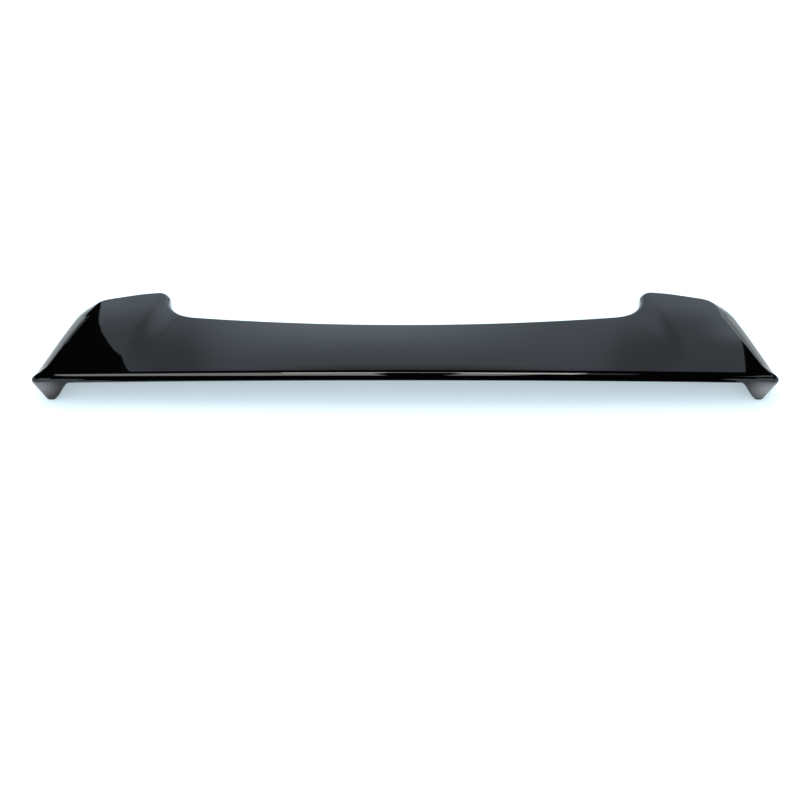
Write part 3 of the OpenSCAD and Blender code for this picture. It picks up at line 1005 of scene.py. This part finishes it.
def mesh_object(name: str, points: Any, faces: Any, material: bpy.types.Material) -> bpy.types.Object:
    """Make a mesh object.

    Args:
        name: Its name.
        points: Its points in metres.
        faces: Its faces as lists of point indices.
        material: Its material.

    Returns:
        The object, linked into the scene.
    """
    mesh = bpy.data.meshes.new(name)
    mesh.from_pydata([tuple(p) for p in points], [], [tuple(int(i) for i in f) for f in faces])
    mesh.materials.append(material)
    mesh.update()
    made = bpy.data.objects.new(name, mesh)
    bpy.context.scene.collection.objects.link(made)
    return made


def level_sheet(height: float, *outline: Span) -> Corners:
    """Return the corners of a level sheet from its outline in plan."""
    return tuple((x, y, height) for x, y in outline)


def upright_sheet(place: float, *outline: Span) -> Corners:
    """Return the corners of an upright sheet across the car from its outline seen along it."""
    return tuple((x, place, z) for x, z in outline)


def level_card(height: float, near: Span, far: Span) -> Corners:
    """Return the corners of a level rectangle between two opposite corners."""
    return level_sheet(height, near, (far[0], near[1]), far, (near[0], far[1]))


def sheet_object(name: str, corners: Corners, material: bpy.types.Material) -> bpy.types.Object:
    """Return a mesh object with one face."""
    return mesh_object(name, corners, [range(len(corners))], material)


def reflected_only(panel: bpy.types.Object) -> bpy.types.Object:
    """Keep a studio panel out of sight, apart from the lacquer's reflections.

    Args:
        panel: The panel.

    Returns:
        The same panel, hidden from the camera, diffuse rays, shadows and transmission.
    """
    panel.visible_camera = False
    panel.visible_diffuse = False
    panel.visible_shadow = False
    panel.visible_transmission = False
    return panel


@dataclass(frozen=True)
class Panel:
    """A flat studio panel: a softbox or, where it has no level, a black flag. Sizes are in metres.

    The level is how bright it looks, where 1 is paper white.
    """

    name: str
    corners: Corners
    level: float = 0.0

    def build(self) -> bpy.types.Object:
        """Set up the panel.

        Returns:
            The panel, which shows only in the lacquer's reflections.
        """
        material, graph = new_material(self.name)
        graph.finish(graph.add("ShaderNodeEmission", {}, {"Color": WHITE, "Strength": self.level}))
        return reflected_only(sheet_object(self.name, self.corners, material))


@dataclass(frozen=True)
class PaperWall:
    """The lit paper ahead of the spoiler, which the deck reflects. Sizes are in metres.

    Nothing lights it: its glow is painted light. A painted pool of light brightens its middle, its
    wings are painted dimmer, with a painted darker band and a painted brighter patch on the right,
    and a painted shadow closes it at the top. Levels are brightnesses, where 1 is paper white, and
    each fade is where a change starts and ends.
    """

    name: str = "paper_wall"
    place: float = 4.62
    half_width: float = 7.0
    height: float = 3.2
    tint: Colour = (0.87, 1.0, 1.13)
    most: float = 2.5
    painted_pool_x: float = -0.3
    painted_pool_fade: Span = (0.2, 1.5)
    painted_pool_climb: Span = (1.60, 2.40)
    painted_pool_level: float = 0.68
    middle_level: float = 0.76
    wing_level: float = 0.92
    wing_climb: Span = (1.15, 2.15)
    wing_fall: float = 0.38
    wing_fade: Span = (1.15, 1.72)
    shade_band_inner: Span = (1.35, 1.60)
    shade_band_outer: Span = (1.80, 2.05)
    shade_band_depth: float = 0.10
    patch_inner: Span = (2.0, 2.6)
    patch_outer: Span = (2.6, 3.2)
    patch_fall: float = 0.7
    patch_climb: Span = (2.0, 2.38)
    patch_level: float = 0.95
    edge_climb: Span = (2.37, 2.68)
    edge_rise: float = 0.12
    edge_bend: Span = (0.3, 2.0)

    def build(self) -> bpy.types.Object:
        """Set up the wall.

        Returns:
            The wall, which shows only in the lacquer's reflections.
        """
        material, graph = new_material(self.name)
        across, height = graph.axes("X", "Z")
        aside = across.size()
        # Painted pool of light: brighter near its centre across the wall and low on the wall.
        near_painted_pool = 1.0 - (across - self.painted_pool_x).size().ease(*self.painted_pool_fade)
        low = 1.0 - height.ease(*self.painted_pool_climb)
        middle = near_painted_pool * low * self.painted_pool_level + self.middle_level
        # Painted shade: the wings glow less, and less again higher up.
        wing = self.wing_level - height.ease(*self.wing_climb) * self.wing_fall
        share = aside.ease(*self.wing_fade)
        # Painted shade band: a dimmer band across each wing.
        shade_band = aside.ease(*self.shade_band_inner) - aside.ease(*self.shade_band_outer)
        # Painted light patch: brighter on the right wing, low on the wall.
        patch = across.ease(*self.patch_inner) - across.ease(*self.patch_outer) * self.patch_fall
        patch = patch * (1.0 - height.ease(*self.patch_climb))
        # Painted shadow that closes the wall at the top, starting higher towards the sides.
        shade = (height - aside.ease(*self.edge_bend) * self.edge_rise).ease(*self.edge_climb)
        level = middle * (1.0 - share) + wing * share - shade_band * self.shade_band_depth + patch * self.patch_level
        glow = level * (1.0 - shade) * (1.0 / self.most)
        bright = tuple(self.most * part for part in self.tint)
        graph.glow(graph.blend(glow, BLACK[:3], bright), 1.0)
        x, z = self.half_width, self.height
        corners = upright_sheet(self.place, (-x, 0.0), (x, 0.0), (x, z), (-x, z))
        return reflected_only(sheet_object(self.name, corners, material))


@dataclass(frozen=True)
class FloorCard:
    """A card on the floor whose glow changes across it, seen only in the lacquer.

    Sizes are in metres. The levels are the brightnesses beside the body, at the reach from it, and
    three times as far away, where 1 is paper white.
    """

    name: str
    near: Span
    far: Span
    levels: tuple[float, float, float]
    tint: Colour = (0.92, 1.0, 1.05)
    most: float = 2.0
    height: float = 0.004
    reach: float = 0.30
    far_reach: float = 0.90

    def build(self) -> bpy.types.Object:
        """Set up the card.

        Returns:
            The card, brightest beside the body.
        """
        material, graph = new_material(self.name)
        (across,) = graph.axes("X")
        start = abs(self.near[0])
        close, middle, away = self.levels
        first = across.size().ease(start, start + self.reach)
        second = across.size().ease(start + self.reach, start + self.far_reach)
        level = close - first * (close - middle) - second * (middle - away)
        bright = tuple(self.most * part for part in self.tint)
        graph.glow(graph.blend(level * (1.0 / self.most), BLACK[:3], bright), 1.0)
        corners = level_card(self.height, self.near, self.far)
        return reflected_only(sheet_object(self.name, corners, material))


@dataclass(frozen=True)
class GlowSpot:
    """A dark card on the floor with a soft-edged glow, seen only in the lacquer. Sizes are in metres."""

    name: str
    near: Span
    far: Span
    centre: Span
    radii: Span
    level: float
    tint: Colour = (0.92, 1.0, 1.08)
    rest: float = 0.15
    height: float = 0.005

    def build(self) -> bpy.types.Object:
        """Set up the card.

        Returns:
            The card, whose glow fades to its rest at the given radii.
        """
        material, graph = new_material(self.name)
        aside = graph.vector("SUBTRACT", graph.place(), (*self.centre, self.height))
        scaled = graph.vector("DIVIDE", aside, (*self.radii, 1.0))
        reach = graph.wire("ShaderNodeVectorMath", {"operation": "LENGTH"}, {0: scaled}, "Value")
        dark = tuple(self.rest * part for part in self.tint)
        graph.glow(graph.blend(1.0 - reach.ease(0.0, 1.0), dark, self.tint), self.level)
        corners = level_card(self.height, self.near, self.far)
        return reflected_only(sheet_object(self.name, corners, material))


@dataclass(frozen=True)
class Studio:
    """White floor, pale surroundings, softboxes and the flags between them. Sizes are in metres."""

    floor_reach: float = 30.0
    floor_paint: Colour = (0.65, 0.78, 0.85)
    floor_roughness: float = 0.9
    floor_gloss: float = 0.1
    floor_lift: float = 0.465
    floor_glow: Colour = (0.76, 0.91, 1.0)
    ambient: float = 0.92
    ceiling: float = 2.4
    layer: float = 0.01
    flag_y: float = 4.5
    low_light_y: float = -4.98
    floor_gap: float = 0.004
    key_size: Span = (3.0, 2.0)
    key_energy: float = 46.0
    key_place: tuple[float, float, float] = (-0.4, 0.9, 2.6)

    def floor(self) -> bpy.types.Object:
        """Lay the floor.

        Returns:
            The floor.
        """
        material, graph = new_material("white_floor")
        seen = graph.rays("Is Camera Ray", "Is Glossy Ray")
        paint = graph.add("ShaderNodeBsdfPrincipled", {}, {
            "Base Color": (*self.floor_paint, 1.0),
            "Roughness": self.floor_roughness,
            "Specular IOR Level": self.floor_gloss,
        })
        lift = graph.add("ShaderNodeEmission", {}, {
            "Color": (*self.floor_glow, 1.0), "Strength": seen * self.floor_lift})
        graph.finish(graph.add("ShaderNodeAddShader", {}, {0: paint.outputs[0], 1: lift.outputs[0]}))
        reach = self.floor_reach
        floor = sheet_object("floor", level_card(0.0, (-reach, -reach), (reach, reach)), material)
        return floor

    def world(self) -> None:
        """Set the white surroundings."""
        world = bpy.data.worlds.new("studio")
        world.use_nodes = True
        bpy.context.scene.world = world
        graph = Graph(world.node_tree)
        seen = graph.rays("Is Camera Ray", "Is Glossy Ray", "Is Transmission Ray")
        strength = seen + (1.0 - seen) * self.ambient
        graph.finish(graph.add("ShaderNodeBackground", {}, {"Color": WHITE, "Strength": strength}),
                     "ShaderNodeOutputWorld")

    def flags(self) -> list[Panel]:
        """Set out the black flags: overhead, behind the camera, beside the wall and on the floor.

        Returns:
            The flags.
        """
        return [
            Panel("flag_zenith", level_card(self.ceiling, (-6.0, -0.30), (6.0, 3.6))),
            Panel("flag_behind_camera", upright_sheet(
                -5.0, (-8.0, 0.0), (8.0, 0.0), (8.0, 3.2), (-8.0, 3.2))),
            Panel("flag_left", upright_sheet(
                self.flag_y, (-7.0, 0.0), (-2.05, 0.0), (-2.05, 1.2), (-2.10, 1.5), (-2.145, 1.79),
                (-2.16, 2.03), (-2.145, 2.23), (-2.125, 2.33), (-2.09, 2.39), (-2.035, 2.42),
                (-2.018, 2.437), (-2.005, 2.452), (-2.015, 2.47), (-2.12, 2.52), (-2.16, 2.9),
                (-7.0, 2.9))),
            Panel("flag_right", upright_sheet(
                self.flag_y, (2.33, 2.0), (3.4, 2.0), (3.4, 2.9), (2.49, 2.9), (2.46, 2.46))),
            Panel("flag_floor", level_sheet(
                self.floor_gap, (-0.64, -0.20), (-0.64, -0.28), (-2.6, -4.9), (2.5, -4.9),
                (0.64, -0.30), (0.64, -0.16), (0.1, -0.165), (-0.1, -0.185))),
            Panel("flag_overhead", level_card(self.ceiling + 0.1, (-6.0, -5.1), (6.0, -0.3))),
        ]

    def softboxes(self) -> list[Panel]:
        """Set out the softboxes overhead, which draw the highlight along the nose.

        Returns:
            The softboxes.
        """
        middle = self.ceiling - self.layer
        low = self.ceiling - 2.0 * self.layer
        return [
            Panel("softbox_left", level_sheet(
                middle, (-1.62, -1.4), (-1.0, -3.9), (-0.15, -4.95), (-0.15, -0.1), (-0.9, 0.05),
                (-1.62, 0.45)), level=4.0),
            Panel("softbox_right", level_sheet(
                self.ceiling, (0.26, -4.4), (0.45, -4.95), (0.66, -4.95), (0.66, -0.6),
                (0.26, -0.6)), level=3.6),
            Panel("softbox_corner", level_sheet(
                middle, (1.74, -2.2), (2.4, -2.2), (2.4, 0.6), (1.70, 0.6)), level=1.6),
            Panel("strip_light", level_sheet(
                low, (-0.55, -0.65), (-0.12, -0.65), (-0.08, -0.20), (0.20, -0.24), (0.26, -0.9),
                (0.80, -1.6), (0.80, -0.15), (-0.55, 0.15)), level=9.0),
            Panel("strip_light_end", level_sheet(
                low, (0.80, -1.35), (1.05, -1.4), (1.05, -0.5), (0.80, -0.25)), level=0.9),
        ]

    def low_lights(self) -> list[Union[Panel, FloorCard, GlowSpot]]:
        """Set out the lights that the winglets and the sides reflect.

        Returns:
            The panels behind the camera and the cards on the floor.
        """
        return [
            Panel("low_light_left", upright_sheet(
                self.low_light_y, (-4.2, 0.1), (-2.72, 0.1), (-2.85, 1.7), (-4.2, 1.7)), level=2.0),
            Panel("low_light_right", upright_sheet(
                self.low_light_y, (2.60, 0.1), (4.2, 0.1), (4.2, 1.7), (2.70, 1.7)), level=1.1),
            FloorCard("card_left", (-0.71, -0.13), (-4.5, 4.45), levels=(1.20, 0.50, 0.0)),
            FloorCard("card_right", (0.71, -0.13), (4.5, 4.45), levels=(1.20, 0.55, 0.95)),
            GlowSpot("glow_left", (-0.64, -0.14), (-0.90, -0.26), centre=(-0.716, -0.171),
                     radii=(0.062, 0.042), level=5.4),
            GlowSpot("glow_right", (0.64, -0.14), (0.90, -0.26), centre=(0.704, -0.166),
                     radii=(0.060, 0.040), level=5.6),
        ]

    def panels(self) -> list[bpy.types.Object]:
        """Return everything that only the lacquer reflects."""
        made = [*self.flags(), *self.softboxes(), *self.low_lights(), PaperWall()]
        return [panel.build() for panel in made]

    def key_light(self) -> bpy.types.Object:
        """Hang the broad overhead lamp that draws the soft shadow on the floor.

        Returns:
            The lamp, which the lacquer doesn't reflect.
        """
        lamp = bpy.data.lights.new("key", "AREA")
        lamp.shape = "RECTANGLE"
        lamp.size, lamp.size_y = self.key_size
        lamp.energy = self.key_energy
        key = bpy.data.objects.new("key", lamp)
        key.location = self.key_place
        key.rotation_euler = Vector(self.key_place).to_track_quat("Z", "Y").to_euler()
        key.visible_glossy = False
        key.visible_camera = False
        bpy.context.scene.collection.objects.link(key)
        return key


@dataclass(frozen=True)
class Photographer:
    """The camera. Lengths are in metres and angles in degrees."""

    lens: float = 48.15
    sensor: float = 36.0
    elevation: float = 46.0
    yaw: float = -0.7
    roll: float = -0.5
    distance: float = 1.998
    aim: tuple[float, float, float] = (-0.0077, -0.1708, 0.0265)

    def build(self) -> bpy.types.Object:
        """Set up the camera at the photograph's viewing angle.

        Returns:
            The camera.
        """
        e, w, roll = (math.radians(a) for a in (self.elevation, self.yaw, self.roll))
        ahead = Vector((math.sin(w) * math.cos(e), math.cos(w) * math.cos(e), -math.sin(e)))
        up = Vector((math.sin(w) * math.sin(e), math.cos(w) * math.sin(e), math.cos(e)))
        right = Vector((math.cos(w), -math.sin(w), 0.0))
        turned_right = right * math.cos(roll) + up * math.sin(roll)
        turned_up = up * math.cos(roll) - right * math.sin(roll)
        data = bpy.data.cameras.new("camera")
        data.lens = self.lens
        data.sensor_width = self.sensor
        camera = bpy.data.objects.new("camera", data)
        rotation = Matrix((turned_right, turned_up, -ahead)).transposed()
        place = Matrix.Translation(Vector(self.aim) - ahead * self.distance)
        camera.matrix_world = place @ rotation.to_4x4()
        bpy.context.scene.collection.objects.link(camera)
        bpy.context.scene.camera = camera
        return camera


def plain_view() -> None:
    """Show colours as they are written."""
    bpy.context.scene.view_settings.view_transform = "Standard"


def main() -> None:
    """Build the spoiler and its studio."""
    logging.basicConfig(level=logging.INFO, format="%(message)s")
    plain_view()
    piece = SpoilerMoulding().build()
    LOG.info("piece: %s, %d faces", piece.name, len(piece.data.polygons))
    studio = Studio()
    studio.floor()
    studio.world()
    for panel in studio.panels():
        LOG.info("stage: %s", panel.name)
    LOG.info("lamp: %s", studio.key_light().name)
    LOG.info("camera: %s", Photographer().build().name)


if __name__ == "__main__":
    main()
